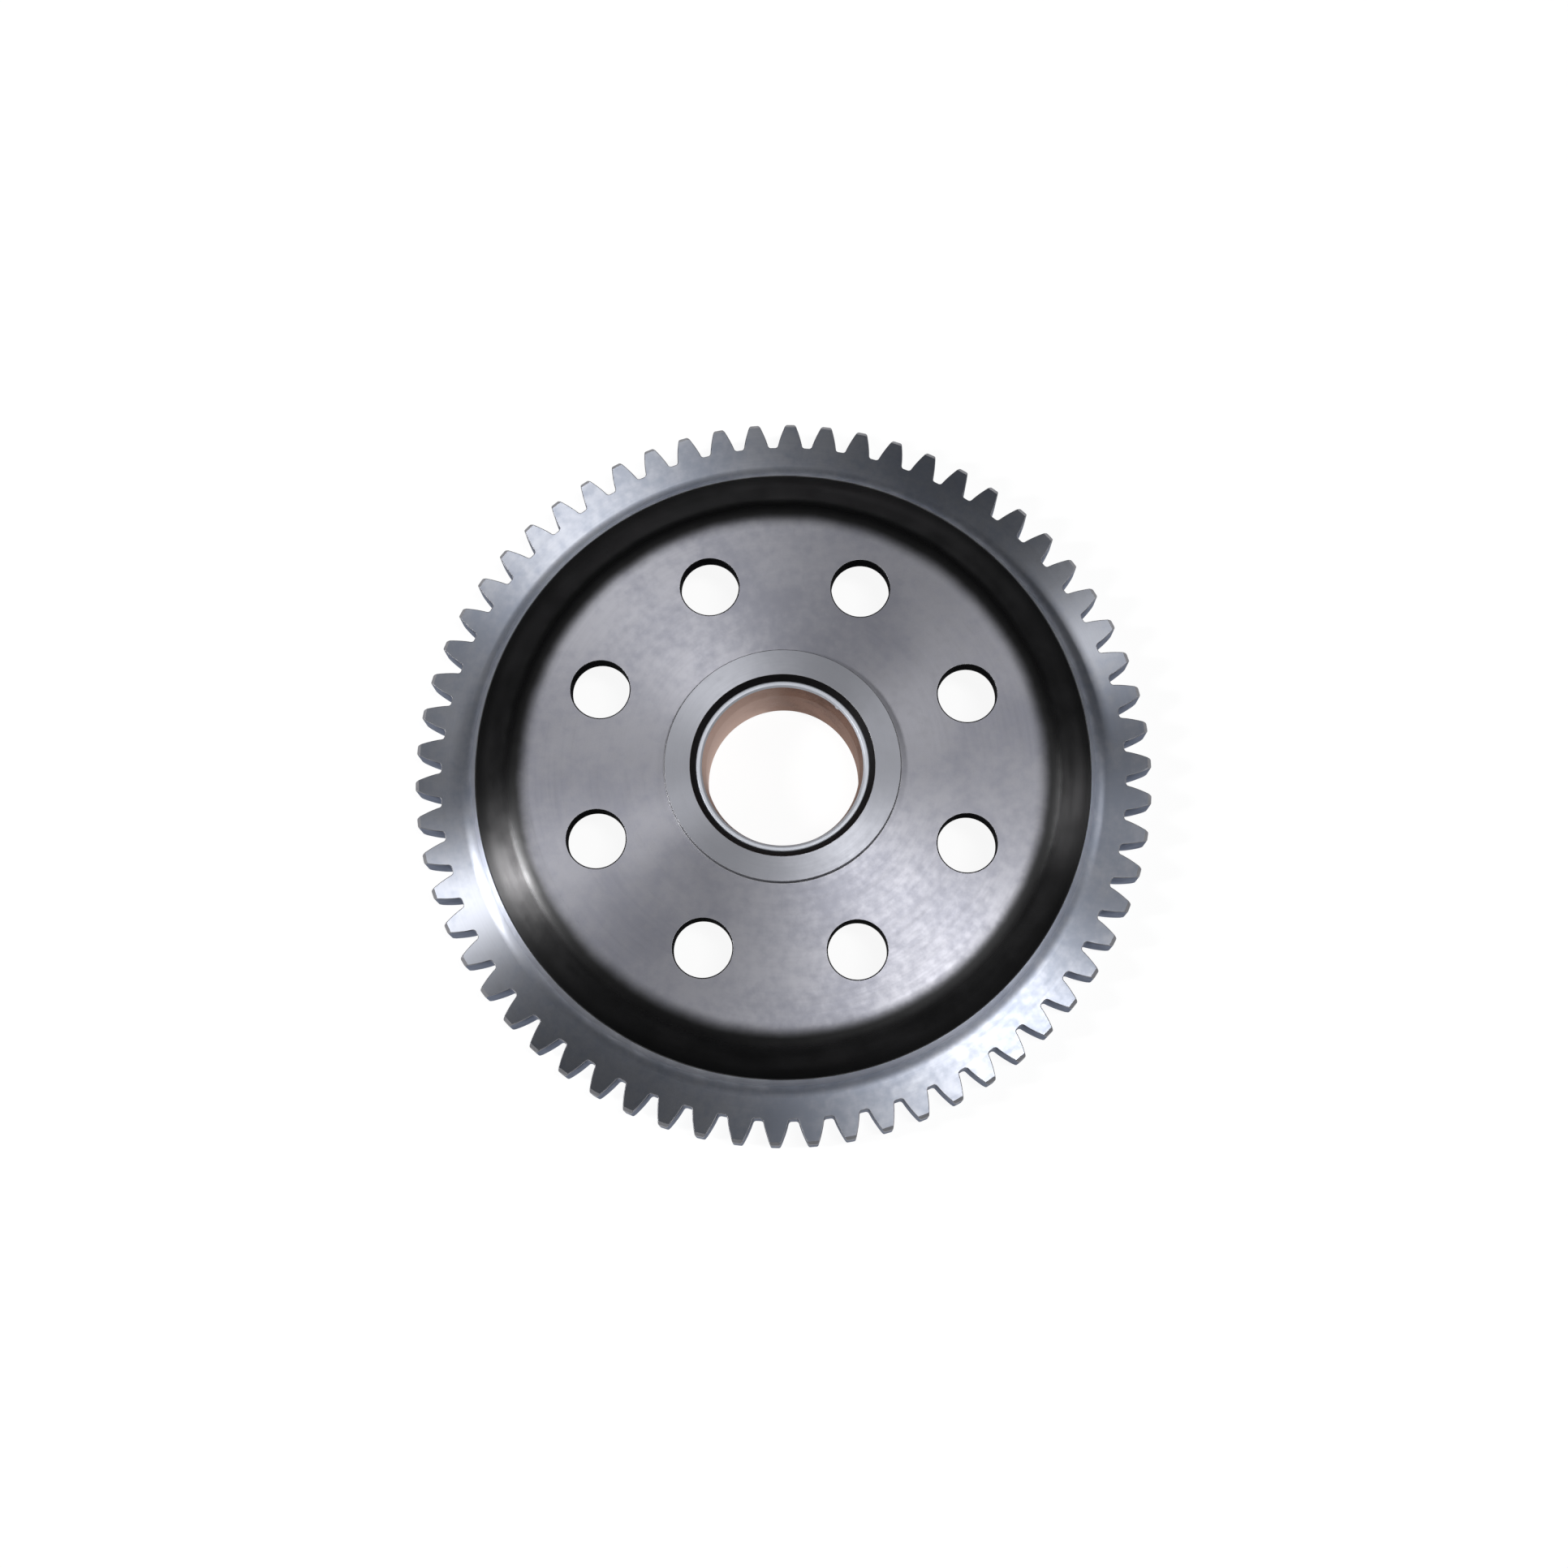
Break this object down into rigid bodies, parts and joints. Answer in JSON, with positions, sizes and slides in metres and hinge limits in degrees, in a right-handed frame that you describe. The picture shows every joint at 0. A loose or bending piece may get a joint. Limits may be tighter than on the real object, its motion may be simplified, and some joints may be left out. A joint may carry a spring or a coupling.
{
  "type": "starter gear",
  "caption": "Spur-toothed driven gear of a starter train: raised dished web with round lightening holes, clutch race on its back and a plain bush in its bore.",
  "frame": {"origin": "on the gear's axis, at the end face of the clutch race, which the gear rests on", "axes": "+Z along the gear's axis, from the race towards the raised web; +X and +Y lie between two web holes"},
  "size_m": [0.128, 0.128, 0.0174],
  "materials": {
    "gear_steel": "turned and ground alloy steel, bright on the rim face, satin on the web, dark as forged on the cone",
    "bush_bronze": "sintered bronze lining on a bright steel back"
  },
  "bodies": {
    "root": {"gear": "gear_steel", "bush": "bush_bronze"}
  },
  "joints": []
}
